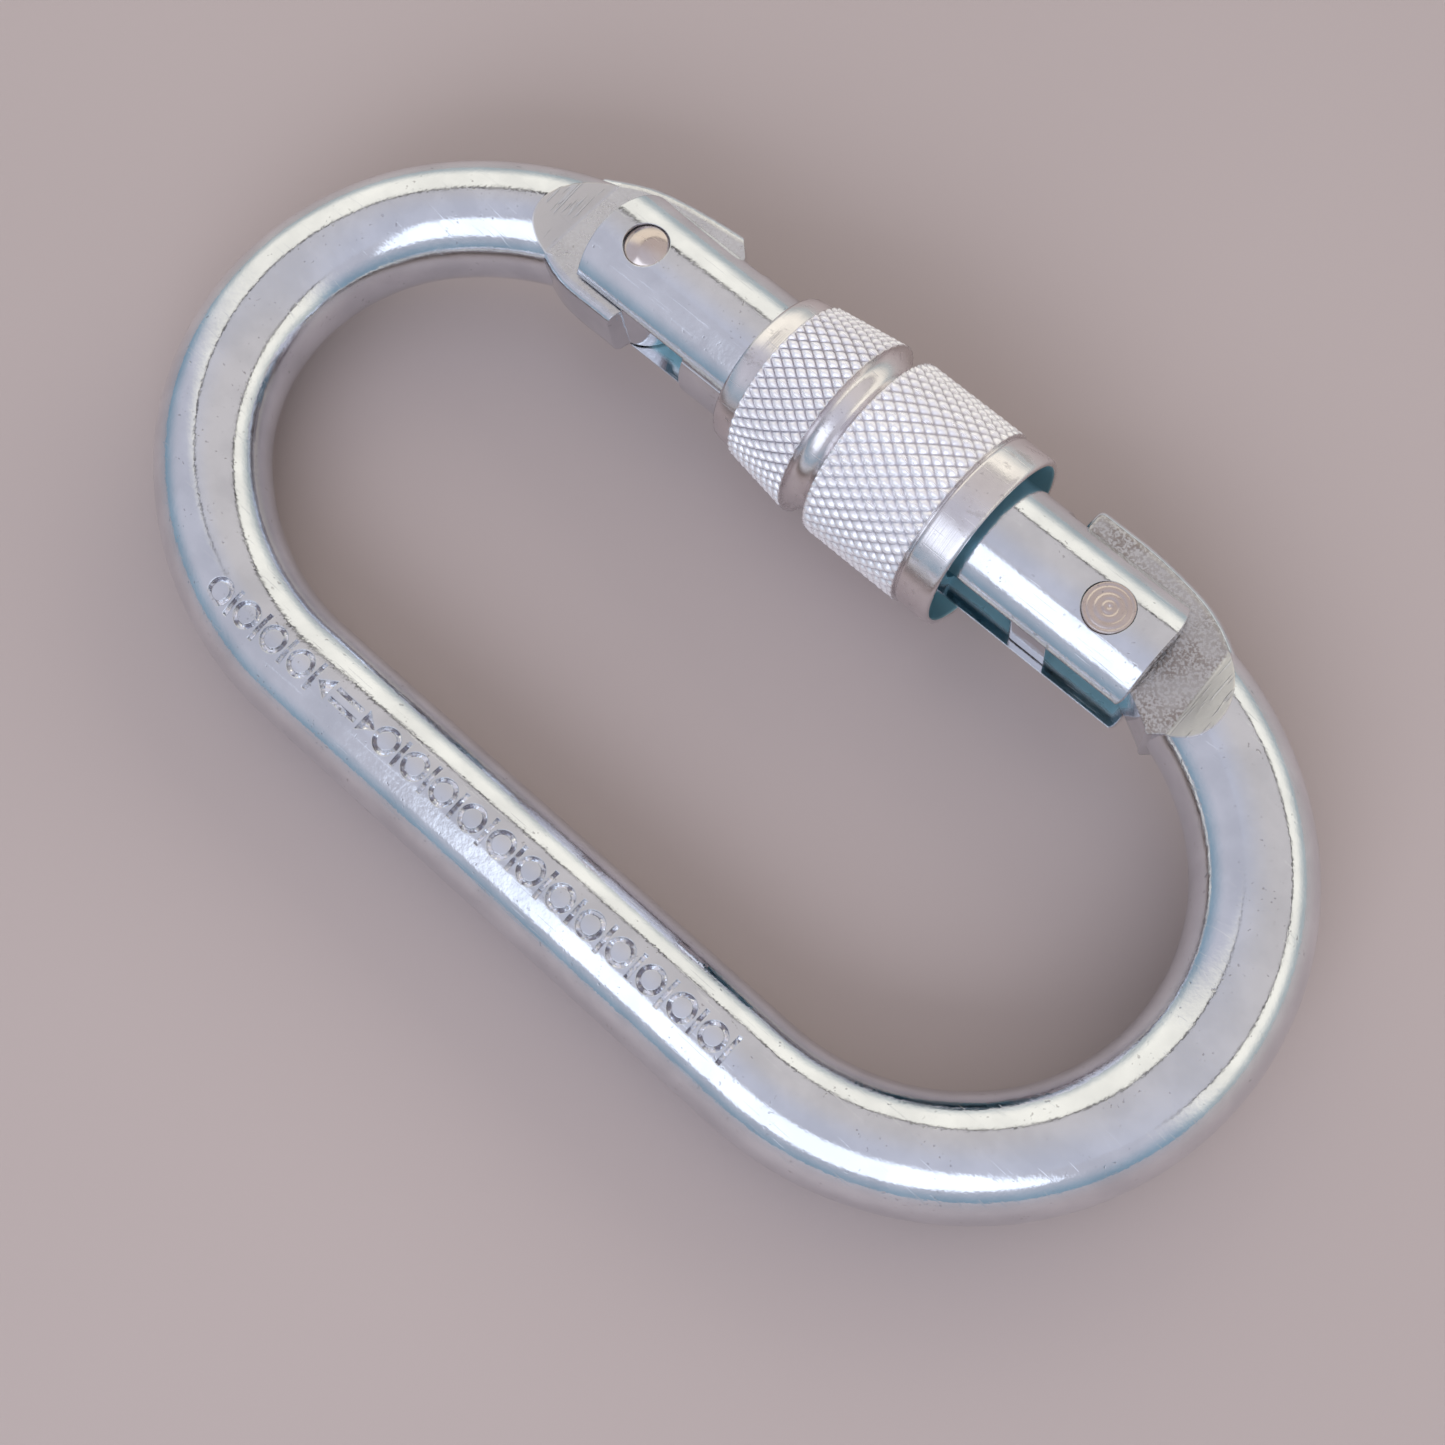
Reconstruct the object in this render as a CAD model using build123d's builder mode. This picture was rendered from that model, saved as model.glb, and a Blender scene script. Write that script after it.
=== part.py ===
from build123d import *
from math import cos, radians, sin
import os

os.makedirs("parts", exist_ok=True)

# Locking carabiner: a steel oval with a screw sleeve, lying flat. Millimetres.
# X runs along the oval from the hinge to the nose, +Y is the gate side, +Z up.

# ---- overall sizes
length = 110.0
body_width = 56.0
bar_d = 10.0
gate_offset = 22.15
gate_r = 6.0
knurl_r = 8.6

body_y = (body_width / 2 - gate_offset - knurl_r) / 2
gate_y = body_y + gate_offset
spine_y = body_y - (body_width - bar_d) / 2
bar_top_y = body_y + (body_width - bar_d) / 2

# ---- bar centreline: each end is two arcs, wide near the straights, tighter at the tip
hinge_reach = 26.0
hinge_wide_r = 28.12
hinge_tip_r = 20.88
hinge_bar_trim = 14.0
nose_reach = 24.1
nose_wide_r = 24.88
nose_tip_r = 22.22
nose_bar_trim = 12.0
split = 45.0

# ---- pressed flats at both ends of the bar
tongue_t = 6.0
tongue_edge_r = 0.9
hinge_x = -26.2
nose_x = 23.3
hinge_flat_x = -33.35
hinge_flat_tilt = 3.4
hinge_ramp_run = 7.2
nose_flat_x = 32.5
nose_flat_tilt = 3.8
nose_ramp_run = 6.8
ramp_top = 8.0

# ---- tongue shapes, seen from above, measured from their rivet
lobe_r = 4.2
lobe_drop = 1.0
inner_edge = 6.5
heel_x = 0.9
tip_x = -6.3
shoulder_y = 7.3
seat_r = 1.95
hook_bottom = 4.4

# ---- gate
gate_tail = -30.45
gate_nose = 28.6
hinge_bore_r = 3.7
nose_bore_r = 4.3
web_x0 = -3.0
web_x1 = 1.0
slot_half = 3.27
tail_bow = 0.45
tail_corner = 2.2
hinge_slot_end = -17.8
inner_slot_end = 10.5
outer_slot_end = 15.4
nose_corner_r = 1.3
thread_pitch = 1.5
thread_depth = 0.5
thread_x0 = -11.5
thread_x1 = 3.5

# ---- rivets
rivet_hole_play = 0.06
hinge_shank_r = 1.7
hinge_head_r = 1.95
latch_shank_r = 1.8
latch_head_r = 2.15
head_depth = 0.6
head_play = 0.07
head_z = 5.85
dome = 0.28

# ---- locking sleeve
sleeve_back = -13.0
back_r = 7.15
sleeve_mouth = 11.75
sleeve_bore_r = 6.1
mouth_bore_r = 7.8
mouth_depth = 4.3
collar_r = 8.4
collar_x = 8.5
knurl_x0 = -10.8
groove_x0 = -4.1
groove_x1 = -1.5
groove_r = 7.35

# ---- plunger and spring inside the gate
plunger_r = 3.6
plunger_gap = 0.02
plunger_len = 5.4
spigot_r = 1.9
spigot_len = 3.0
spring_r = 2.9
spring_wire = 0.9
spring_coils = 7

# ---- stamped marks on the spine
mark_floor = 4.5
mark_x0 = -32.2
mark_pitch = 3.2
mark_ring_r = 1.2
mark_line = 0.4
mark_gap = 4.6
arrow_x = -17.3
arrow_shaft = 2.9
left_marks = 4
right_marks = 12


def bar_start():
    """Where the round bar begins at the hinge, and its heading there."""
    a = radians(hinge_bar_trim)
    x = -length / 2 + bar_d / 2 + hinge_reach - hinge_wide_r * sin(a)
    y = bar_top_y - hinge_wide_r * (1 - cos(a))
    return (x, y), (-cos(a), -sin(a))


def flat_plane(x, tilt):
    """A vertical plane across one end, its first axis pointing along the gate."""
    a = radians(tilt)
    return Plane(origin=(x, gate_y, 0), x_dir=(cos(a), sin(a), 0), z_dir=(sin(a), -cos(a), 0))


# ---------------------------------------------------------------- frame
start, heading = bar_start()
hinge_plane = Plane(origin=(hinge_x, gate_y, 0))
nose_plane = Plane(origin=(nose_x, gate_y, 0))

with BuildPart() as frame:
    with BuildLine() as centreline:
        top_left = JernArc(start, heading, hinge_wide_r, split - hinge_bar_trim)
        left_end = JernArc(top_left @ 1, top_left % 1, hinge_tip_r, 180 - 2 * split)
        low_left = JernArc(left_end @ 1, left_end % 1, hinge_wide_r, split)
        spine_end = (length / 2 - bar_d / 2 - nose_reach, (low_left @ 1).Y)
        spine = Line(low_left @ 1, spine_end)
        low_right = JernArc(spine @ 1, (1, 0), nose_wide_r, split)
        right_end = JernArc(low_right @ 1, low_right % 1, nose_tip_r, 180 - 2 * split)
        top_right = JernArc(right_end @ 1, right_end % 1, nose_wide_r, split - nose_bar_trim)
    # the circle starts underneath, so its seam stays clear of the marks
    with BuildSketch(Plane(origin=(*start, 0), x_dir=(0, 0, -1), z_dir=(*heading, 0))):
        Circle(bar_d / 2)
    sweep(path=centreline.wire())

    # press both ends flat, with a sloping shoulder back to the round bar
    for x, tilt, run in ((hinge_flat_x, -hinge_flat_tilt, hinge_ramp_run),
                         (nose_flat_x, 180 + nose_flat_tilt, nose_ramp_run)):
        with BuildSketch(flat_plane(x, tilt)):
            for side in (1, -1):
                low = side * tongue_t / 2
                high = side * ramp_top
                Polygon((0, low), (14, low), (14, high), (-run, high), align=None)
        extrude(amount=14, both=True, mode=Mode.SUBTRACT)

with BuildPart() as hinge_tongue:
    with BuildSketch(hinge_plane.offset(-tongue_t / 2)):
        with BuildLine():
            outer = Spline((-8.5, 3.7), (-6.7, 4.65), (-5.1, 5.4), (-3.3, 5.95), (-1.3, 6.35),
                           (0.8, 6.65), (3.0, 6.9), (4.35, 7.0))
            tip = Polyline(outer @ 1, (6.0, 5.4), (6.2, 5.0), (6.2, hinge_bore_r + 0.2),
                           (lobe_r, hinge_bore_r + 0.2), (lobe_r, -lobe_drop))
            lobe = JernArc(tip @ 1, (0, -1), lobe_r, -72)
            heel = Line(lobe @ 1, (heel_x, -inner_edge))
            inner = Spline(heel @ 1, (-2.3, -inner_edge), (-5.3, -6.3), (-7.3, -5.7), (-8.5, -5.2))
            Line(inner @ 1, outer @ 0)
        make_face()
    extrude(amount=tongue_t)
    rim = hinge_tongue.edges().filter_by(GeomType.BSPLINE)
    fillet(rim, tongue_edge_r)
    with Locations((hinge_x, gate_y, 0)):
        Cylinder(hinge_shank_r + rivet_hole_play, tongue_t * 2, mode=Mode.SUBTRACT)

with BuildPart() as nose_tongue:
    with BuildSketch(nose_plane.offset(-tongue_t / 2)):
        with BuildLine():
            back = Polyline((tip_x, -hook_bottom), (tip_x, shoulder_y), (-1.9, shoulder_y))
            outer = Spline(back @ 1, (0.3, 7.2), (2.5, 6.95), (5.6, 6.35), (8.1, 5.3), (10.4, 3.8),
                           tangents=[(1, 0), (1, -0.8)])
            Polyline(outer @ 1, (10.4, -3.5), (8.4, -5.2), (5.0, -hook_bottom), back @ 0)
        make_face()
    extrude(amount=tongue_t)
    rim = nose_tongue.edges().filter_by(GeomType.BSPLINE)
    rim += nose_tongue.edges().filter_by(Axis.X).group_by(Axis.Y)[-1]
    fillet(rim, tongue_edge_r)
    round_ends = nose_tongue.edges().filter_by(Axis.Z).group_by(Axis.X)[0]
    fillet(round_ends, 0.6)

with frame:
    add(hinge_tongue.part)
    add(nose_tongue.part)
    # the bearing hole, cleared again through the end of the round bar
    with Locations((hinge_x, gate_y, 0)):
        Cylinder(hinge_shank_r + rivet_hole_play, tongue_t * 2, mode=Mode.SUBTRACT)
    # notch for the latch rivet, with a flared flank that guides it home
    with BuildSketch(nose_plane.offset(-ramp_top)):
        Circle(seat_r)
        with BuildLine():
            Polyline((-seat_r, 0), (seat_r, 0), (seat_r, -0.9), (4.3, -3.0), (5.9, -3.75), (7.9, -4.85),
                     (8.4, -5.5), (8.4, -10), (-2.6, -10), (-2.35, -hook_bottom), close=True)
        make_face()
    extrude(amount=2 * ramp_top, mode=Mode.SUBTRACT)
    # generic stamped marks along the spine: a double arrow between rows of bars and rings
    with BuildSketch(Plane.XY.offset(mark_floor)):
        with Locations((arrow_x, spine_y - 0.5), (arrow_x, spine_y + 0.5)):
            Rectangle(arrow_shaft, mark_line)
        for side in (1, -1):
            with Locations(Location((arrow_x + side * 2.3, spine_y), 90 - 90 * side)):
                Triangle(c=1.7, B=55, C=55, rotation=-90)
        for x0, count in ((mark_x0, left_marks), (arrow_x + mark_gap, right_marks)):
            for mark_no in range(count):
                x = x0 + mark_no * mark_pitch
                with Locations((x, spine_y)):
                    Circle(mark_ring_r)
                    Circle(mark_ring_r - mark_line, mode=Mode.SUBTRACT)
                with Locations((x + mark_pitch / 2, spine_y)):
                    Rectangle(mark_line, 2 * mark_ring_r + 0.3 * (mark_no % 2))
    extrude(amount=bar_d, mode=Mode.SUBTRACT)
frame.part.label = "frame"
export_step(frame.part, "parts/frame.step")

# ---------------------------------------------------------------- gate
gate_axis = Axis((0, gate_y, 0), (1, 0, 0))
gate_section = Plane(origin=(gate_tail - 0.5, gate_y, 0), x_dir=(0, 1, 0), z_dir=(1, 0, 0))
gate_plan = Plane(origin=(0, gate_y, 0))
gate_side = Plane(origin=(0, gate_y, 0), x_dir=(1, 0, 0), z_dir=(0, -1, 0))

with BuildPart() as gate:
    with BuildSketch(gate_section):
        Circle(gate_r)
    extrude(amount=gate_nose - gate_tail + 0.5)
    # bowed hinge end and rounded nose end, seen from above
    corner = gate_r * 0.93
    arc_mid = nose_corner_r * (1 - cos(radians(45)))
    with BuildSketch(gate_plan.offset(-8)):
        with BuildLine():
            side_in = Line((0, -7), (gate_tail + tail_bow, -7))
            low_tail = Line(side_in @ 1, (gate_tail + tail_bow, -5.5))
            bow = ThreePointArc(low_tail @ 1, (gate_tail, -0.5), (gate_tail + tail_bow, 3.7))
            turn = ThreePointArc(bow @ 1, (gate_tail + 1.0, 4.9), (gate_tail + tail_corner, 5.9))
            side_out = Polyline(turn @ 1, (gate_tail + tail_corner, 7), (gate_nose - nose_corner_r, 7),
                                (gate_nose - nose_corner_r, corner))
            round_high = ThreePointArc(side_out @ 1, (gate_nose - 0.4, 3.9), (gate_nose, 1.6))
            face = Line(round_high @ 1, (gate_nose, -corner + nose_corner_r))
            round_low = ThreePointArc(face @ 1, (gate_nose - arc_mid, -corner + arc_mid),
                                      (gate_nose - nose_corner_r, -corner))
            Polyline(round_low @ 1, (gate_nose - nose_corner_r, -7), side_in @ 0)
        make_face()
    extrude(amount=16, mode=Mode.INTERSECT)
    # spring chamber from the hinge end, open tube from the nose end
    for x0, x1, r in ((gate_tail - 1, web_x0, hinge_bore_r), (web_x1, gate_nose + 1, nose_bore_r)):
        keep = max(x0, hinge_x + lobe_r - 0.4)
        with BuildSketch(Plane(origin=(keep, gate_y, 0), x_dir=(0, 1, 0), z_dir=(1, 0, 0))):
            Circle(r)
        extrude(amount=x1 - keep, mode=Mode.SUBTRACT)
    # slots for the two tongues
    for x0, x1, y0, y1 in ((gate_tail - 1, hinge_slot_end, -9, 9), (inner_slot_end, gate_nose + 1, -9, 0),
                           (outer_slot_end, gate_nose + 1, 0, 9)):
        with BuildSketch(gate_plan.offset(-slot_half)):
            with Locations((x0, y0)):
                Rectangle(x1 - x0, y1 - y0, align=Align.MIN)
        extrude(amount=2 * slot_half, mode=Mode.SUBTRACT)
    # butt seam of the rolled tube
    with Locations((hinge_slot_end, gate_y - gate_r - 1, slot_half - 0.35)):
        Box(inner_slot_end - hinge_slot_end, 1.9, 0.16, align=Align.MIN, mode=Mode.SUBTRACT)
    # rivet holes and head seats in the cheeks
    for x, shank, head in ((hinge_x, hinge_shank_r, hinge_head_r), (nose_x, latch_shank_r, latch_head_r)):
        with Locations((x, gate_y, 0)):
            Cylinder(shank, 4 * gate_r, mode=Mode.SUBTRACT)
        for side in (1, -1):
            with Locations((x, gate_y, side * (head_z - head_depth + 2))):
                Cylinder(head + head_play, 4, mode=Mode.SUBTRACT)
    # thread turns under the sleeve
    with BuildSketch(gate_side):
        for turn_no in range(int((thread_x1 - thread_x0) / thread_pitch)):
            x = thread_x0 + turn_no * thread_pitch
            root = gate_r - thread_depth
            Polygon((x - 0.42, gate_r + 0.05), (x - 0.1, root), (x + 0.1, root), (x + 0.42, gate_r + 0.05), align=None)
    revolve(axis=gate_axis, mode=Mode.SUBTRACT)
gate.part.label = "gate"
export_step(gate.part, "parts/gate.step")


# ---------------------------------------------------------------- rivets
def rivet_profile(shank, head, bulge):
    """Half outline of a rivet closed at both ends, from its centre line outwards."""
    low = head_z - head_depth
    Polyline((0, -head_z - bulge), (0, head_z + bulge))
    for side in (1, -1):
        ThreePointArc((0, side * (head_z + bulge)), (head * 0.55, side * (head_z + bulge * 0.68)),
                      (head, side * head_z))
        Polyline((head, side * head_z), (head, side * low), (shank, side * low), (shank, 0))


with BuildPart() as hinge_rivet:
    with BuildSketch(Plane(origin=(hinge_x, gate_y, 0), x_dir=(1, 0, 0), z_dir=(0, -1, 0))):
        with BuildLine():
            rivet_profile(hinge_shank_r, hinge_head_r, dome)
        make_face()
    revolve(axis=Axis((hinge_x, gate_y, 0), (0, 0, 1)))
hinge_rivet.part.label = "hinge_rivet"
export_step(hinge_rivet.part, "parts/hinge_rivet.step")

with BuildPart() as latch_rivet:
    with BuildSketch(Plane(origin=(nose_x, gate_y, 0), x_dir=(1, 0, 0), z_dir=(0, -1, 0))):
        with BuildLine():
            rivet_profile(latch_shank_r, latch_head_r, dome / 2)
        make_face()
    revolve(axis=Axis((nose_x, gate_y, 0), (0, 0, 1)))
latch_rivet.part.label = "latch_rivet"
export_step(latch_rivet.part, "parts/latch_rivet.step")

# ---------------------------------------------------------------- locking sleeve
with BuildPart() as locking_sleeve:
    with BuildSketch(gate_side):
        with BuildLine():
            lip = Polyline((sleeve_back, sleeve_bore_r), (sleeve_back, back_r - 0.3),
                           (sleeve_back + 0.3, back_r),
                           (knurl_x0, back_r + 0.2), (knurl_x0 + 0.2, back_r + 0.4), (groove_x0, knurl_r))
            dip = ThreePointArc(lip @ 1, ((groove_x0 + groove_x1) / 2, groove_r), (groove_x1, knurl_r))
            Polyline(dip @ 1, (collar_x - 0.3, knurl_r), (collar_x - 0.3, collar_r - 0.25),
                     (collar_x, collar_r - 0.25), (collar_x, collar_r), (sleeve_mouth - 0.3, collar_r),
                     (sleeve_mouth, collar_r - 0.25), (sleeve_mouth, mouth_bore_r + 0.1),
                     (sleeve_mouth - 0.2, mouth_bore_r), (sleeve_mouth - mouth_depth, mouth_bore_r),
                     (sleeve_mouth - mouth_depth, sleeve_bore_r), (sleeve_back, sleeve_bore_r))
        make_face()
    revolve(axis=gate_axis)
    # thread relief, clear of the gate's crests
    with BuildSketch(gate_side):
        for turn_no in range(int((thread_x1 - thread_x0) / thread_pitch)):
            x = thread_x0 + turn_no * thread_pitch
            Polygon((x - 0.4, sleeve_bore_r - 0.05), (x - 0.1, sleeve_bore_r + thread_depth),
                    (x + 0.1, sleeve_bore_r + thread_depth), (x + 0.4, sleeve_bore_r - 0.05), align=None)
    revolve(axis=gate_axis, mode=Mode.SUBTRACT)
locking_sleeve.part.label = "locking_sleeve"
export_step(locking_sleeve.part, "parts/locking_sleeve.step")

# ---------------------------------------------------------------- plunger and spring
plunger_x = hinge_x + lobe_r + plunger_gap
spring_x = plunger_x + plunger_len

with BuildPart() as spring_plunger:
    with BuildSketch(Plane(origin=(plunger_x, gate_y, 0), x_dir=(0, 1, 0), z_dir=(1, 0, 0))):
        Circle(plunger_r)
    extrude(amount=plunger_len)
    with BuildSketch(Plane(origin=(spring_x, gate_y, 0), x_dir=(0, 1, 0), z_dir=(1, 0, 0))):
        Circle(spigot_r)
    extrude(amount=spigot_len)
    chamfer(spring_plunger.edges().group_by(Axis.X)[0], 0.35)
    chamfer(spring_plunger.edges().group_by(Axis.X)[-1], 0.35)
spring_plunger.part.label = "spring_plunger"
export_step(spring_plunger.part, "parts/spring_plunger.step")

coil_x0 = spring_x + spring_wire / 2 + 0.02
coil_len = web_x0 - spring_wire / 2 - 0.02 - coil_x0

with BuildPart() as gate_spring:
    with BuildLine():
        coil = Helix(pitch=coil_len / spring_coils, height=coil_len, radius=spring_r,
                     center=(coil_x0, gate_y, 0), direction=(1, 0, 0))
    with BuildSketch(Plane(origin=coil @ 0, z_dir=coil % 0)):
        Circle(spring_wire / 2)
    sweep(is_frenet=True)
gate_spring.part.label = "gate_spring"
export_step(gate_spring.part, "parts/gate_spring.step")
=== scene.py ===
import math

import bpy
import numpy as np
from mathutils import Matrix, Vector


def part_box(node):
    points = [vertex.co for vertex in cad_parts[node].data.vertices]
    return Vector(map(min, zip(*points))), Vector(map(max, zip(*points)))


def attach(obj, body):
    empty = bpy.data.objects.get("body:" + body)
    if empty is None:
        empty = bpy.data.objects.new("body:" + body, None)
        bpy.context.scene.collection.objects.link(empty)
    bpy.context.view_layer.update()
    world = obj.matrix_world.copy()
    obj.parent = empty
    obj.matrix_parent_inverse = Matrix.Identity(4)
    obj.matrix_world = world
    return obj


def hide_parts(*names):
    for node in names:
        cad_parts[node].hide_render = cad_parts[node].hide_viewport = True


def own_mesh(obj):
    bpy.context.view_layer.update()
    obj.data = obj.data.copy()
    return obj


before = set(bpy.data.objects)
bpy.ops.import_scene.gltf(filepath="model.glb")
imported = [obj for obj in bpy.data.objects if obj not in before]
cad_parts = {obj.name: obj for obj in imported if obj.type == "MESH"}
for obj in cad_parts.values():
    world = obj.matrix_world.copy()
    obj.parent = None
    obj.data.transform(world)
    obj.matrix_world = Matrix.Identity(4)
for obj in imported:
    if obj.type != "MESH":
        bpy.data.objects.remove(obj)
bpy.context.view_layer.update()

MM = 0.001
TINY = 1e-9

# ---------------------------------------------------------------- places read from the frame
bar_low, bar_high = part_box("frame")
sleeve_low, sleeve_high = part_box("locking_sleeve")
gate_low, gate_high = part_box("gate")
hinge_low, hinge_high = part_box("hinge_rivet")
latch_low, latch_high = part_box("latch_rivet")
spring_low, spring_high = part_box("gate_spring")
bar_r = (bar_high.z - bar_low.z) / 2
gate_axis_y = (sleeve_low.y + sleeve_high.y) / 2
gate_axis_z = (sleeve_low.z + sleeve_high.z) / 2
knurl_r = (sleeve_high.z - sleeve_low.z) / 2
gate_r = (gate_high.z - gate_low.z) / 2
spine_y = bar_low.y + bar_r


# ---------------------------------------------------------------- node helpers
def add_node(tree, kind, inputs=None, **props):
    """A shader node with its properties set and its inputs linked or given values."""
    made = tree.nodes.new(kind)
    for key, value in props.items():
        setattr(made, key, value)
    for key, value in (inputs or {}).items():
        if isinstance(value, bpy.types.NodeSocket):
            tree.links.new(value, made.inputs[key])
        else:
            made.inputs[key].default_value = value
    return made


def calc(tree, operation, a, b=0.0, c=0.0, clamp=False):
    made = add_node(tree, "ShaderNodeMath", {0: a, 1: b, 2: c}, operation=operation)
    made.use_clamp = clamp
    return made.outputs[0]


def ramp(tree, value, low, high, to_low=0.0, to_high=1.0):
    """value between low and high, mapped smoothly to to_low and to_high."""
    made = add_node(tree, "ShaderNodeMapRange", {
        "Value": value, "From Min": low, "From Max": high, "To Min": to_low, "To Max": to_high,
    }, interpolation_type="SMOOTHSTEP")
    return made.outputs["Result"]


def mix(tree, share, a, b):
    """Colour a where share is 0, and b where it is 1."""
    made = add_node(tree, "ShaderNodeMix", {0: share, 6: a, 7: b}, data_type="RGBA")
    return made.outputs[2]


def noise(tree, where, scale, detail=2.0, rough=0.5):
    made = add_node(tree, "ShaderNodeTexNoise", {
        "Vector": where, "Scale": scale, "Detail": detail, "Roughness": rough})
    return made.outputs["Fac"]


def stretched(tree, where, scale, turn=(0.0, 0.0, 0.0)):
    """where scaled by a different amount along each axis, for noise drawn out into lines."""
    made = add_node(tree, "ShaderNodeMapping", {"Vector": where, "Scale": scale, "Rotation": turn})
    return made.outputs["Vector"]


def bump(tree, height, distance, normal):
    made = add_node(tree, "ShaderNodeBump", {
        "Height": height, "Strength": 1.0, "Distance": distance, "Normal": normal})
    return made.outputs["Normal"]


def split(tree, where):
    """The x, y and z of where."""
    return add_node(tree, "ShaderNodeSeparateXYZ", {0: where}).outputs


def gate_distance(tree, y, z):
    """The distance from the gate's own axis, which runs along X."""
    off = calc(tree, "SUBTRACT", y, gate_axis_y)
    return calc(tree, "SQRT", calc(
        tree, "ADD", calc(tree, "MULTIPLY", off, off), calc(tree, "MULTIPLY", z, z)))


def rgb(r, g, b):
    return (r, g, b, 1.0)


# ---------------------------------------------------------------- materials
EASED_EDGE = 0.14 * MM
ZINC = rgb(0.80, 0.82, 0.86)
ZINC_DULL = rgb(0.70, 0.72, 0.76)
PIT_GREY = rgb(0.30, 0.29, 0.30)
PRESSED = rgb(0.21, 0.165, 0.15)
# painted shade and painted glints speckled over the stamped marks
PRESSED_PALE = rgb(0.70, 0.67, 0.65)
STRUCK_PAINTED_SHADE = rgb(0.30, 0.29, 0.33)
STRUCK_PAINTED_GLINT = rgb(0.97, 0.97, 1.0)
# painted reflection: the blue-green inside the gate's tube
TUBE_PAINTED_REFLECTION = rgb(0.25, 0.50, 0.59)
# painted blue reflection in the sleeve's mouth
MOUTH_PAINTED_REFLECTION = rgb(0.26, 0.50, 0.58)
SCUFF_GREY = rgb(0.42, 0.38, 0.37)
# painted highlight on the knurl pads
KNURL_PAINTED_HIGHLIGHT = rgb(0.97, 0.95, 0.98)
# painted shade in the knurl's grooves
GROOVE_PAINTED_SHADE = rgb(0.34, 0.31, 0.36)

# each pressed end: where its flat starts, the tilt of that line in degrees, how long the ramp
# past it is, which way the ramp runs along X, and how grainy the flat is
HINGE_FLAT = (-33.35 * MM, -3.4, 7.2 * MM, -1.0, 0.2)
NOSE_FLAT = (32.5 * MM, 3.8, 6.8 * MM, 1.0, 1.0)
TONGUE_Z = 3.0 * MM             # half the thickness left between the flats
RAMP_RISE = 5.0 * MM
# the stamped marks' floor, half width and reach, and the bend that the first of them are on
MARK_FLOOR = 4.5 * MM
MARK_HALF = 1.85 * MM
MARKS_X = (-33.7 * MM, 24.9 * MM)
SPINE_START = -24.0 * MM
BEND_R = 28.12 * MM
# the painted blue reflection inside the gate's tube: full and gone this far in from the tube's
# outside, and gone and full this far in from its end faces
TUBE_REFLECTION_REACH = (1.0 * MM, 0.56 * MM)
TUBE_END = (0.15 * MM, 0.9 * MM)
# the painted blue reflection in the sleeve's mouth: inside this radius, and gone and full this far
# behind the edge
MOUTH_R = 7.82 * MM
MOUTH_DEPTH = (5.0 * MM, 4.0 * MM)


def plated(name, bright, dull, rough, peel, pit_share, extra=None):
    """Bright zinc plate: cloudy tone, fine orange peel, pits and hairline scratches.

    rough is the lowest and highest roughness, peel scales the orange peel, and pit_share is
    how dark and deep the pits are.
    extra(tree, where, colour, roughness, normal) may add what one piece has on top."""
    material = bpy.data.materials.new(name)
    material.use_nodes = True
    tree = material.node_tree
    shader = tree.nodes["Principled BSDF"]
    shader.inputs["Metallic"].default_value = 1.0
    where = add_node(tree, "ShaderNodeTexCoord").outputs["Object"]
    cloud = noise(tree, where, 260.0, 3.0)
    colour = mix(tree, ramp(tree, cloud, 0.3, 0.7), dull, bright)
    pits = ramp(tree, noise(tree, where, 2600.0, 1.0), 0.66, 0.74)
    patches = ramp(tree, noise(tree, where, 420.0, 2.0), 0.5, 0.62)
    spots = calc(tree, "MULTIPLY", calc(tree, "MULTIPLY", pits, patches), pit_share)
    colour = mix(tree, spots, colour, PIT_GREY)
    lines = []
    for turn in (0.5, 1.9):
        long_way = stretched(tree, where, (160.0, 6500.0, 700.0), (0.0, 0.0, turn))
        lines.append(ramp(tree, noise(tree, long_way, 1.0, 1.0), 0.70, 0.76))
    scratch = calc(tree, "MAXIMUM", *lines)
    roughness = ramp(tree, noise(tree, where, 700.0, 2.0), 0.3, 0.7, rough[0], rough[1])
    roughness = calc(tree, "ADD", roughness, calc(tree, "MULTIPLY", scratch, 0.12))
    eased = add_node(tree, "ShaderNodeBevel", {"Radius": EASED_EDGE}, samples=4).outputs["Normal"]
    normal = bump(tree, noise(tree, where, 620.0, 2.0), 0.00002 * peel, eased)
    normal = bump(tree, noise(tree, where, 3200.0, 1.0), 0.000008 * peel, normal)
    normal = bump(tree, scratch, -0.000003, normal)
    normal = bump(tree, spots, -0.000012, normal)
    if extra is not None:
        colour, roughness, normal = extra(tree, where, colour, roughness, normal)
    tree.links.new(colour, shader.inputs["Base Color"])
    tree.links.new(roughness, shader.inputs["Roughness"])
    tree.links.new(normal, shader.inputs["Normal"])
    return material


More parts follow.
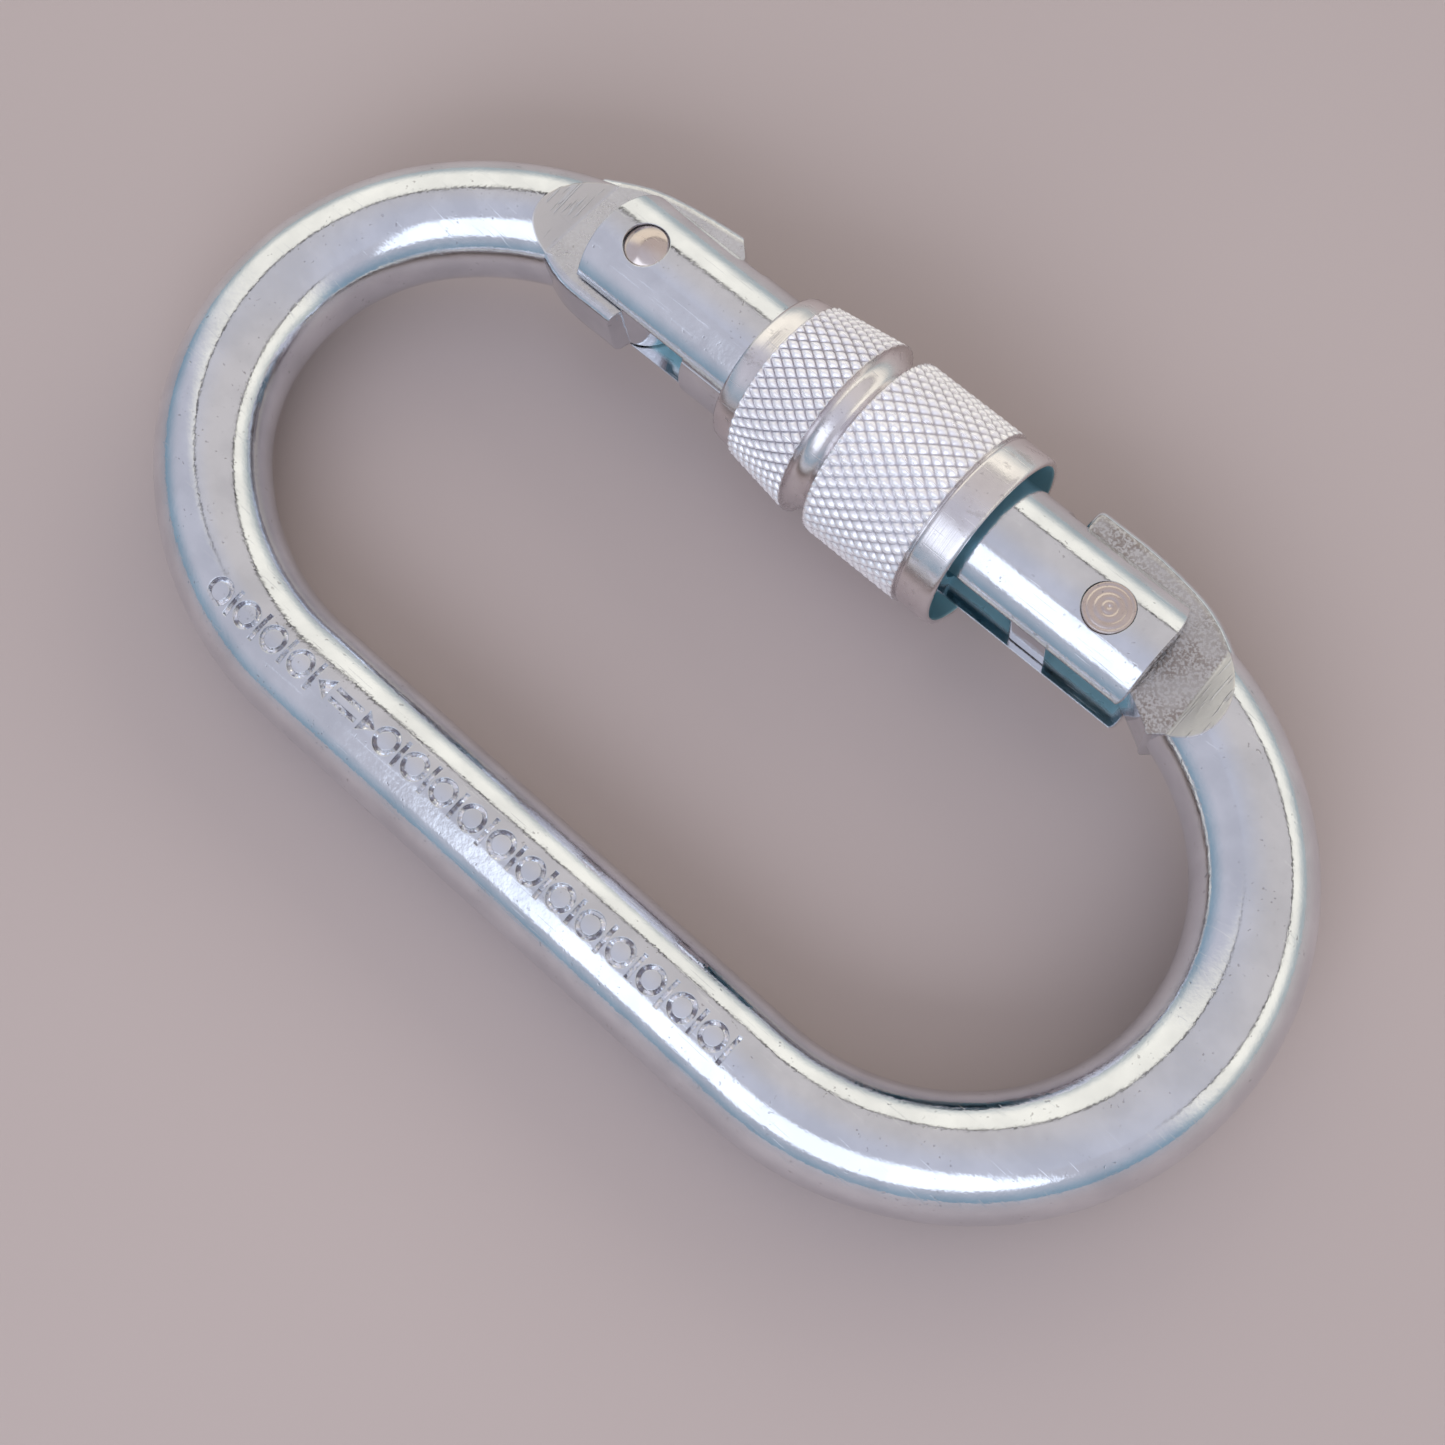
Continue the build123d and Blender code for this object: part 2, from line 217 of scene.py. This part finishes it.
def pressed_ends(tree, where, colour, roughness, normal):
    """The bar's pressed ends, with grainy flats and lined ramps, and its stamped marks speckled
    with painted glints and painted shade.
    """
    x, y, z = split(tree, where)
    height = calc(tree, "ABSOLUTE", z)
    gate_side = ramp(tree, y, 9.0 * MM, 10.0 * MM)
    masks, ramps, grains = [], [], []
    for start, lean_deg, run, way, grainy in (HINGE_FLAT, NOSE_FLAT):
        lean = math.tan(math.radians(lean_deg))
        line = calc(tree, "MULTIPLY_ADD", calc(tree, "SUBTRACT", y, gate_axis_y), -lean, start)
        past = calc(tree, "MULTIPLY", calc(tree, "SUBTRACT", x, line), way)
        surface = calc(tree, "MULTIPLY_ADD", calc(tree, "MAXIMUM", past, 0.0),
                       RAMP_RISE / run, TONGUE_Z)
        off = calc(tree, "ABSOLUTE", calc(tree, "SUBTRACT", height, surface))
        near = ramp(tree, off, 0.05 * MM, 0.12 * MM, 1.0, 0.0)
        inside = ramp(tree, past, -22.0 * MM, -21.0 * MM)
        on_side = calc(tree, "MULTIPLY", near, calc(tree, "MULTIPLY", inside, gate_side))
        masks.append(on_side)
        ramps.append(calc(tree, "MULTIPLY", on_side, ramp(tree, past, 0.0, 0.3 * MM)))
        flat = calc(tree, "SUBTRACT", on_side, ramps[-1], clamp=True)
        grains.append(calc(tree, "MULTIPLY", flat, grainy))
    mask = calc(tree, "MAXIMUM", *masks)
    on_ramp = calc(tree, "MAXIMUM", *ramps)
    on_flat = calc(tree, "MAXIMUM", *grains)
    grain = noise(tree, where, 3600.0, 3.0, 0.7)
    worn = ramp(tree, noise(tree, where, 420.0, 2.0), 0.38, 0.62, 0.35, 1.0)
    speckle = calc(tree, "MULTIPLY", ramp(tree, grain, 0.45, 0.54), worn)
    milled = stretched(tree, where, (4200.0, 260.0, 260.0), (0.0, 0.0, 0.25))
    lines = ramp(tree, noise(tree, milled, 1.0, 2.0), 0.56, 0.66)
    browned = calc(tree, "MULTIPLY", on_flat, calc(tree, "MULTIPLY_ADD", speckle, 0.65, 0.34))
    colour = mix(tree, browned, colour, PRESSED)
    paled = calc(tree, "MULTIPLY", on_ramp, calc(tree, "MULTIPLY_ADD", lines, -0.5, 0.8))
    colour = mix(tree, paled, colour, PRESSED_PALE)
    colour = mix(tree, calc(tree, "MULTIPLY", mask, 0.3), colour, PRESSED_PALE)
    roughness = calc(tree, "MULTIPLY_ADD", mask, 0.16, roughness)
    roughness = calc(tree, "MULTIPLY_ADD", on_ramp, 0.16, roughness)
    roughness = calc(tree, "MULTIPLY_ADD", on_flat, calc(tree, "MULTIPLY", grain, 0.25), roughness)
    normal = bump(tree, calc(tree, "MULTIPLY", on_flat, grain), 0.00006, normal)
    normal = bump(tree, calc(tree, "MULTIPLY", on_ramp, lines), 0.00004, normal)

    # the row of marks follows the bar's line, which rises where the bend starts
    past_bend = calc(tree, "MINIMUM", calc(tree, "SUBTRACT", x, SPINE_START), 0.0)
    lift = calc(tree, "MULTIPLY", calc(tree, "MULTIPLY", past_bend, past_bend), 0.5 / BEND_R)
    off_spine = calc(tree, "SUBTRACT", y, spine_y)
    beside = calc(tree, "ABSOLUTE", calc(tree, "SUBTRACT", off_spine, lift))
    at_floor = calc(tree, "MULTIPLY",
                    ramp(tree, z, MARK_FLOOR - 0.1 * MM, MARK_FLOOR - 0.05 * MM),
                    ramp(tree, z, MARK_FLOOR + 0.02 * MM, MARK_FLOOR + 0.08 * MM, 1.0, 0.0))
    stamped = calc(tree, "MULTIPLY",
                   ramp(tree, beside, MARK_HALF, MARK_HALF + 0.15 * MM, 1.0, 0.0), at_floor)
    along = calc(tree, "MULTIPLY", ramp(tree, x, MARKS_X[0] - 1.0 * MM, MARKS_X[0]),
                 ramp(tree, x, MARKS_X[1], MARKS_X[1] + 0.9 * MM, 1.0, 0.0))
    stamped = calc(tree, "MULTIPLY", stamped, along)
    struck = noise(tree, where, 1100.0, 2.0)
    # the marks' floor is speckled with painted glints and painted shade so the marks stand out
    for low, high, tone in ((0.5, 0.4, STRUCK_PAINTED_SHADE), (0.52, 0.6, STRUCK_PAINTED_GLINT)):
        colour = mix(tree, calc(tree, "MULTIPLY", stamped, ramp(tree, struck, low, high)),
                     colour, tone)
    normal = bump(tree, calc(tree, "MULTIPLY", stamped, struck), 0.0004, normal)
    return colour, roughness, normal


def tube_painted_reflection(tree, where, colour, roughness, normal):
    """Inside the gate's tube the metal is tinted blue-green as a painted reflection of blue light,
    and is partly matt.
    """
    x, y, z = split(tree, where)
    radius = gate_distance(tree, y, z)
    inside = ramp(tree, radius, gate_r - TUBE_REFLECTION_REACH[0], gate_r - TUBE_REFLECTION_REACH[1], 1.0, 0.0)
    for end, way in ((gate_low.x, 1), (gate_high.x, -1)):
        off_end = ramp(tree, x, end + way * TUBE_END[0], end + way * TUBE_END[1])
        inside = calc(tree, "MULTIPLY", inside, off_end)
    # painted reflection: the blue-green tint stands in for blue light reflected inside the tube,
    # and less metal makes it brighter
    colour = mix(tree, calc(tree, "MULTIPLY", inside, 0.9), colour, TUBE_PAINTED_REFLECTION)
    roughness = calc(tree, "MULTIPLY_ADD", inside, 0.2, roughness)
    shader = tree.nodes["Principled BSDF"]
    tree.links.new(calc(tree, "MULTIPLY_ADD", inside, -0.38, 1.0), shader.inputs["Metallic"])
    return colour, roughness, normal


def turned(tree, where, colour, roughness, normal):
    """The sleeve: turning marks, scuffs, a painted highlight on the knurl pads, painted shade in
    the grooves and a painted blue reflection in the mouth.
    """
    x, y, z = split(tree, where)
    rings = stretched(tree, where, (7000.0, 60.0, 60.0))
    marks = noise(tree, rings, 1.0, 2.0, 0.6)
    scuffs = stretched(tree, where, (420.0, 800.0, 800.0))
    scuff = ramp(tree, noise(tree, scuffs, 1.0, 4.0, 0.7), 0.56, 0.66)
    colour = mix(tree, calc(tree, "MULTIPLY", scuff, 0.35), colour, SCUFF_GREY)
    valley = add_node(tree, "ShaderNodeAttribute", attribute_name="valley").outputs["Fac"]
    pads = add_node(tree, "ShaderNodeAttribute", attribute_name="knurled").outputs["Fac"]
    # painted highlight: the knurled band is painted pale
    colour = mix(tree, calc(tree, "MULTIPLY", pads, 0.8), colour, KNURL_PAINTED_HIGHLIGHT)
    # painted shade: the grooves are darker the deeper they are
    colour = mix(tree, ramp(tree, valley, 0.45, 1.0, 0.0, 0.8), colour, GROOVE_PAINTED_SHADE)
    radius = gate_distance(tree, y, z)
    # painted reflection: the mouth's inside is tinted blue for the blue light it reflects
    mouth = calc(tree, "MULTIPLY", ramp(tree, radius, MOUTH_R, MOUTH_R + 0.1 * MM, 1.0, 0.0),
                 ramp(tree, x, sleeve_high.x - MOUTH_DEPTH[0], sleeve_high.x - MOUTH_DEPTH[1]))
    colour = mix(tree, mouth, colour, MOUTH_PAINTED_REFLECTION)
    roughness = calc(tree, "MULTIPLY_ADD", mouth, 0.2, roughness)
    # less metal on the pads and in the mouth lets the painted highlight and the painted reflection
    # show brighter
    diffuse = calc(tree, "MAXIMUM",
                   calc(tree, "MULTIPLY", pads, 0.42), calc(tree, "MULTIPLY", mouth, 0.5))
    shader = tree.nodes["Principled BSDF"]
    tree.links.new(calc(tree, "SUBTRACT", 1.0, diffuse), shader.inputs["Metallic"])
    roughness = calc(tree, "MULTIPLY_ADD", marks, 0.10, roughness)
    roughness = calc(tree, "MULTIPLY_ADD", scuff, 0.12, roughness)
    normal = bump(tree, marks, 0.000010, normal)
    return colour, roughness, normal


bar_material = plated("zinc_bar", ZINC, ZINC_DULL, (0.07, 0.13), 0.8, 0.5, pressed_ends)
gate_material = plated("zinc_gate", ZINC, ZINC_DULL, (0.07, 0.13), 0.6, 0.4, tube_painted_reflection)
sleeve_material = plated("zinc_sleeve", rgb(0.88, 0.85, 0.86), rgb(0.76, 0.73, 0.74),
                         (0.12, 0.20), 0.5, 0.3, turned)
rivet_material = plated("zinc_rivet", rgb(0.78, 0.71, 0.68), rgb(0.64, 0.55, 0.51),
                        (0.12, 0.24), 0.5, 0.5)
spring_material = plated("spring_wire", rgb(0.55, 0.56, 0.58), rgb(0.42, 0.43, 0.46),
                         (0.2, 0.3), 0.5, 0.3)
plunger_material = plated("zinc_plunger", rgb(0.70, 0.78, 0.80), rgb(0.55, 0.66, 0.70),
                          (0.15, 0.28), 0.6, 0.3)

for node_name, material in (("frame", bar_material), ("gate", gate_material),
                            ("spring_plunger", plunger_material)):
    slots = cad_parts[node_name].data.materials
    slots.clear()
    slots.append(material)


# ---------------------------------------------------------------- mesh helpers
def make_piece(name, points, faces, material, sharp_deg=35.0):
    """A smooth-shaded mesh object, with an edge kept sharp where it turns more than sharp_deg."""
    mesh = bpy.data.meshes.new(name)
    mesh.from_pydata(points, [], faces)
    mesh.materials.append(material)
    mesh.shade_smooth()
    mesh.set_sharp_from_angle(angle=math.radians(sharp_deg))
    mesh.update()
    piece = bpy.data.objects.new(name, mesh)
    bpy.context.scene.collection.objects.link(piece)
    return piece


def lathe(profile, count, place):
    """Points and faces of a profile of (along, radius) turned round an axis.

    The profile starts and ends on the axis, where a radius of 0 is one point.
    place(along, radius, angle) gives the point."""
    points, rings, faces = [], [], []
    for along, radius in profile:
        if radius < TINY:
            rings.append([len(points)] * count)
            points.append(place(along, 0.0, 0.0))
        else:
            rings.append(list(range(len(points), len(points) + count)))
            points += [place(along, radius, 2 * math.pi * k / count) for k in range(count)]
    for a, b in zip(rings, rings[1:]):
        for k in range(count):
            face = [a[k], b[k], b[(k + 1) % count], a[(k + 1) % count]]
            face = [v for at, v in enumerate(face) if v not in face[:at]]
            if len(face) > 2:
                faces.append(face)
    return points, faces


# ---------------------------------------------------------------- knurled sleeve
BAND_STEP = 1.5 * MM            # knurl pitch along the sleeve
AROUND = 46                     # diamonds round the sleeve
FINE = 10                       # mesh steps across one diamond
KNURL_DEPTH = 0.34 * MM
KNURL_FADE = 0.25 * MM          # how far in from a band's end the knurl reaches its full depth
ROUNDING = 2.6                  # how flat the pads are: 1 is a roof, more is flatter
S0, S1 = sleeve_low.x, sleeve_high.x
# the outline as (distance, radius) in mm: from the back, past the front band, and from the mouth
BACK_EDGE = ((0.0, 6.15), (0.0, 6.78), (0.06, 6.98), (0.3, 7.14), (1.2, 7.26), (2.12, 7.34),
             (2.2, 7.36))
COLLAR_EDGE = ((0.06, 8.15), (0.22, 8.15), (0.28, 8.34), (0.36, 8.4))
MOUTH_EDGE = ((0.2, 8.36), (0.07, 8.28), (0.0, 8.14), (0.0, 7.94), (0.08, 7.84), (0.25, 7.8),
              (4.2, 7.8), (4.3, 7.7), (4.3, 6.2), (4.4, 6.12))
BORE_END = (0.1, 6.12)          # from the back again
BACK_BAND = (2.25 * MM, 8.85 * MM)
BACK_BAND_R, BACK_BAND_RISE = 7.62, 0.94    # in mm, at its back end and how much more in front
WAIST_LONG = 2.62 * MM
WAIST_R, WAIST_DIP = 8.5, 1.15  # in mm, at its ends and how much less in its middle
WAIST_STEPS = 22
FRONT_BAND_END = 21.25 * MM
COLLAR_R = 8.4 * MM
COLLAR_STEPS = 12
COLLAR_END = 0.42 * MM          # before the mouth


def groove_depth(u, v):
    """0 on a pad's rounded top, 1 in the grooves, for two crossing helical grooves."""
    height = 1.0
    for w in (u + v, u - v):
        height *= 1 - (1 - 2 * abs(w - round(w))) ** ROUNDING
    return 1 - height


def sleeve_outline():
    """(x, radius, knurl) along the outside from back to mouth, then home through the bore."""
    step = BAND_STEP / FINE
    rows = [(S0 + at * MM, r * MM, 0) for at, r in BACK_EDGE]
    left0, left1 = S0 + BACK_BAND[0], S0 + BACK_BAND[1]
    count = round((left1 - left0) / step)
    for k in range(count + 1):
        share = k / count
        rows.append((left0 + k * step, (BACK_BAND_R + BACK_BAND_RISE * share) * MM, 1))
    dip0 = left0 + count * step
    dip1 = dip0 + WAIST_LONG
    for k in range(1, WAIST_STEPS):
        turn = math.pi * k / WAIST_STEPS
        rows.append((dip0 + (dip1 - dip0) * (1 - math.cos(turn)) / 2,
                     (WAIST_R - WAIST_DIP * math.sin(turn)) * MM, 0))
    count = round((S0 + FRONT_BAND_END - dip1) / step)
    for k in range(count + 1):
        rows.append((dip1 + k * step, knurl_r, 1))
    end = dip1 + count * step
    rows += [(end + at * MM, r * MM, 0) for at, r in COLLAR_EDGE]
    collar = end + COLLAR_EDGE[-1][0] * MM
    for k in range(1, COLLAR_STEPS + 1):
        rows.append((collar + (S1 - COLLAR_END - collar) * k / COLLAR_STEPS, COLLAR_R, 0))
    rows += [(S1 - at * MM, r * MM, 0) for at, r in MOUTH_EDGE]
    rows.append((S0 + BORE_END[0] * MM, BORE_END[1] * MM, 0))
    return rows


def build_sleeve():
    """The sleeve's mesh, with how deep in a groove and how far into a band each point is."""
    rows = sleeve_outline()
    count = AROUND * FINE
    turn = np.linspace(0, 2 * math.pi, count, endpoint=False)
    points, valley, knurled = [], [], []
    bands = []
    for at, (x, _, knurl) in enumerate(rows):
        if knurl and not rows[at - 1][2]:
            bands.append([x, x])
        if knurl:
            bands[-1][1] = x
    for x, radius, knurl in rows:
        fade = 0.0
        if knurl:
            low, high = next(b for b in bands if b[0] - TINY <= x <= b[1] + TINY)
            fade = min(1.0, (x - low) / KNURL_FADE + 0.25, (high - x) / KNURL_FADE + 0.25)
        for k in range(count):
            deep = fade * groove_depth((x - bands[0][0]) / BAND_STEP, k / FINE) if knurl else 0.0
            r = radius - KNURL_DEPTH * deep
            points.append((x, gate_axis_y + r * math.cos(turn[k]),
                           gate_axis_z + r * math.sin(turn[k])))
            valley.append(deep)
            knurled.append(fade)
    faces = []
    for row in range(len(rows)):
        after = (row + 1) % len(rows)
        fine = rows[row][2] and rows[after][2]
        for k in range(count):
            k1 = (k + 1) % count
            a, b = row * count + k, after * count + k
            c, d = after * count + k1, row * count + k1
            if not fine:
                faces.append((a, d, c, b))
            elif valley[a] + valley[c] >= valley[b] + valley[d]:
                faces += [(a, d, c), (a, c, b)]
            else:
                faces += [(a, d, b), (d, c, b)]
    piece = make_piece("sleeve_knurled", points, faces, sleeve_material, sharp_deg=50.0)
    for name, values in (("valley", valley), ("knurled", knurled)):
        stored = piece.data.attributes.new(name, "FLOAT", "POINT")
        stored.data.foreach_set("value", np.array(values, np.float32))
    return piece


sleeve = build_sleeve()
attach(sleeve, "sleeve")
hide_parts("locking_sleeve")


# ---------------------------------------------------------------- rivets
def rivet(name, low, high, shank, heads, rings):
    """A rivet along Z, with the same head at both ends of its shank.

    heads are the dome's height and the whole head's. rings are the (radius, width, depth) of
    the grooves spun into each head."""
    centre = (low + high) / 2
    top = high.z - centre.z
    head = (high.x - low.x) / 2
    dome, tall = heads
    rim_rise, rim_in = 0.04 * MM, 0.05 * MM
    upper = [(top - tall, shank), (top - tall, head), (top - dome, head),
             (top - dome + rim_rise, head - rim_in)]
    steps = 40
    for k in range(1, steps):
        r = (head - rim_in) * (1 - k / steps)
        z = top - (dome - rim_rise) * (r / head) ** 2
        for at, wide, deep in rings:
            z -= deep * math.exp(-((r - at) / wide) ** 2)
        upper.append((z, r))
    upper.append((top - sum(d * math.exp(-(a / w) ** 2) for a, w, d in rings), 0.0))
    profile = [(-z, r) for z, r in reversed(upper)] + upper

    def place(along, radius, angle):
        return (centre.x + radius * math.cos(angle), centre.y + radius * math.sin(angle),
                centre.z + along)

    points, faces = lathe(profile, 72, place)
    return make_piece(name, points, faces, rivet_material, sharp_deg=60.0)


LATCH_RINGS = ((0.0, 0.16 * MM, 0.12 * MM), (0.62 * MM, 0.14 * MM, 0.08 * MM),
               (1.25 * MM, 0.16 * MM, 0.07 * MM), (1.82 * MM, 0.09 * MM, 0.06 * MM))
hinge_piece = rivet("hinge_rivet_headed", hinge_low, hinge_high, 1.7 * MM,
                    (0.62 * MM, 0.86 * MM), ())
latch_piece = rivet("latch_rivet_spun", latch_low, latch_high, 1.8 * MM,
                    (0.14 * MM, 0.72 * MM), LATCH_RINGS)
for piece, node_name in ((hinge_piece, "hinge_rivet"), (latch_piece, "latch_rivet")):
    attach(piece, "gate")
    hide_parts(node_name)


# ---------------------------------------------------------------- spring
def build_spring():
    """One round wire wound seven times round the gate's axis, with flat ends."""
    wire = 0.45 * MM
    radius = (spring_high.z - spring_low.z) / 2 - wire
    x0, x1 = spring_low.x + wire, spring_high.x - wire
    turns, per_turn, sides = 7.0, 36, 12
    count = int(turns * per_turn)
    points, faces = [], []
    slope = (x1 - x0) / turns / (2 * math.pi * radius)
    for k in range(count + 1):
        angle = 2 * math.pi * k / per_turn
        centre = Vector((x0 + (x1 - x0) * k / count, gate_axis_y + radius * math.cos(angle),
                         gate_axis_z + radius * math.sin(angle)))
        outward = Vector((0, math.cos(angle), math.sin(angle)))
        along = Vector((slope, -math.sin(angle), math.cos(angle))).normalized()
        across = along.cross(outward)
        for side in range(sides):
            t = 2 * math.pi * side / sides
            points.append(centre + wire * (outward * math.cos(t) + across * math.sin(t)))
    for k in range(count):
        for side in range(sides):
            nxt = (side + 1) % sides
            faces.append((k * sides + side, k * sides + nxt,
                          (k + 1) * sides + nxt, (k + 1) * sides + side))
    faces.append(tuple(range(sides - 1, -1, -1)))
    faces.append(tuple(count * sides + side for side in range(sides)))
    return make_piece("spring_coil", points, faces, spring_material)


spring = build_spring()
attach(spring, "gate")
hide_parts("gate_spring")
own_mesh(spring)


# ---------------------------------------------------------------- floor
# the object lies on its spine and its sleeve, so the floor is tilted about X in its frame
tilt = math.asin((knurl_r - bar_r) / (gate_axis_y - spine_y))
up = Vector((0, math.sin(tilt), math.cos(tilt)))
touch = Vector((0, spine_y, 0)) - up * bar_r
floor_mesh = bpy.data.meshes.new("floor")
half = 14.0
floor_mesh.from_pydata([(-half, -half, 0), (half, -half, 0), (half, half, 0), (-half, half, 0)],
                       [], [(0, 1, 2, 3)])
floor = bpy.data.objects.new("floor", floor_mesh)
bpy.context.scene.collection.objects.link(floor)
floor.matrix_world = Matrix.Translation(touch) @ Matrix.Rotation(-tilt, 4, "X")
floor_material = bpy.data.materials.new("floor_pale")
floor_material.use_nodes = True
tree = floor_material.node_tree
shader = tree.nodes["Principled BSDF"]
where = add_node(tree, "ShaderNodeTexCoord").outputs["Object"]
floor_tone = mix(tree, noise(tree, where, 9.0, 2.0),
                 rgb(0.385, 0.32, 0.31), rgb(0.425, 0.355, 0.345))
tree.links.new(floor_tone, shader.inputs["Base Color"])
shader.inputs["Roughness"].default_value = 0.34
shader.inputs["Specular IOR Level"].default_value = 0.3
floor_mesh.materials.append(floor_material)


# ---------------------------------------------------------------- light
def soft_light(name, where, size, power, colour):
    """A soft lamp aimed at the origin, which the metal doesn't reflect."""
    data = bpy.data.lights.new(name, "AREA")
    data.shape = "RECTANGLE"
    data.size, data.size_y = size
    data.energy = power
    data.color = colour
    lamp = bpy.data.objects.new(name, data)
    bpy.context.scene.collection.objects.link(lamp)
    lamp.location = where
    lamp.visible_glossy = False
    lamp.rotation_mode = "QUATERNION"
    lamp.rotation_quaternion = (-Vector(where)).to_track_quat("-Z", "Y")


soft_light("window", (0.36, -0.60, 0.50), (0.8, 0.36), 5.0, (0.86, 0.92, 1.0))
soft_light("far_wall", (0.1, 0.85, 0.42), (1.3, 0.4), 2.6, (1.0, 0.97, 0.9))

# the studio that the metal reflects: a ceiling, a near and a far wall, a window, and a dark line
# where the ceiling meets the far wall, on the far side only
HORIZON = (0.765, 0.785)
DARK_LINE = (0.755, 0.772, 0.79, 0.80)
world = bpy.data.worlds.new("studio")
bpy.context.scene.world = world
world.use_nodes = True
tree = world.node_tree
background = tree.nodes["Background"]
direction = add_node(tree, "ShaderNodeTexCoord").outputs["Generated"]
x, y, z = split(tree, direction)
overhead = calc(tree, "MULTIPLY_ADD", x, 0.2, calc(tree, "MULTIPLY_ADD", y, 0.29, z))
wave = noise(tree, direction, 7.0, 2.0)
overhead = calc(tree, "MULTIPLY_ADD", calc(tree, "SUBTRACT", wave, 0.5), 0.03, overhead)
ceiling = mix(tree, ramp(tree, y, -0.3, 0.5), rgb(0.61, 0.62, 0.72), rgb(0.66, 0.62, 0.62))
near_wall = mix(tree, ramp(tree, z, 0.0, 0.55), rgb(0.24, 0.36, 0.46), rgb(0.58, 0.58, 0.66))
far_wall = mix(tree, ramp(tree, z, 0.0, 0.35), rgb(0.48, 0.53, 0.54), rgb(1.12, 1.08, 0.97))
walls = mix(tree, ramp(tree, y, -0.12, 0.2), near_wall, far_wall)
window = calc(tree, "MULTIPLY",
              ramp(tree, x, -0.36, -0.24), ramp(tree, y, -0.46, -0.36, 1.0, 0.0))
window = calc(tree, "MULTIPLY", window, calc(
    tree, "MULTIPLY", ramp(tree, z, 0.42, 0.48), ramp(tree, z, 0.84, 0.90, 1.0, 0.0)))
sky = mix(tree, ramp(tree, overhead, *HORIZON), walls, ceiling)
sky = mix(tree, window, sky, rgb(1.35, 1.45, 1.65))
edge = calc(tree, "MULTIPLY", ramp(tree, overhead, *DARK_LINE[:2]),
            ramp(tree, overhead, *DARK_LINE[2:], 1.0, 0.0))
edge = calc(tree, "MULTIPLY", edge, ramp(tree, y, -0.1, 0.1))
sky = mix(tree, calc(tree, "MULTIPLY", edge, 0.95), sky, rgb(0.03, 0.025, 0.025))
seen = add_node(tree, "ShaderNodeLightPath").outputs["Is Camera Ray"]
tree.links.new(mix(tree, seen, sky, rgb(0.62, 0.60, 0.60)), background.inputs["Color"])
background.inputs["Strength"].default_value = 1.0

# ---------------------------------------------------------------- camera
camera_data = bpy.data.cameras.new("camera")
camera = bpy.data.objects.new("camera", camera_data)
bpy.context.scene.collection.objects.link(camera)
CAMERA_AT = (0.04884, -0.031507, 0.16537)
view_right = Vector((0.7366289, 0.6707126, -0.0867318))
view_up = Vector((-0.6275258, 0.7256811, 0.2821318))
view_back = Vector((0.2521690, -0.1534000, 0.9554471))
camera.matrix_world = Matrix.Translation(CAMERA_AT) @ Matrix(
    (view_right, view_up, view_back)).transposed().to_4x4()
camera_data.sensor_width = 36.0
camera_data.lens = 53.385
camera_data.clip_start, camera_data.clip_end = 0.005, 60.0
bpy.context.scene.camera = camera
bpy.context.scene.view_settings.view_transform = "Standard"
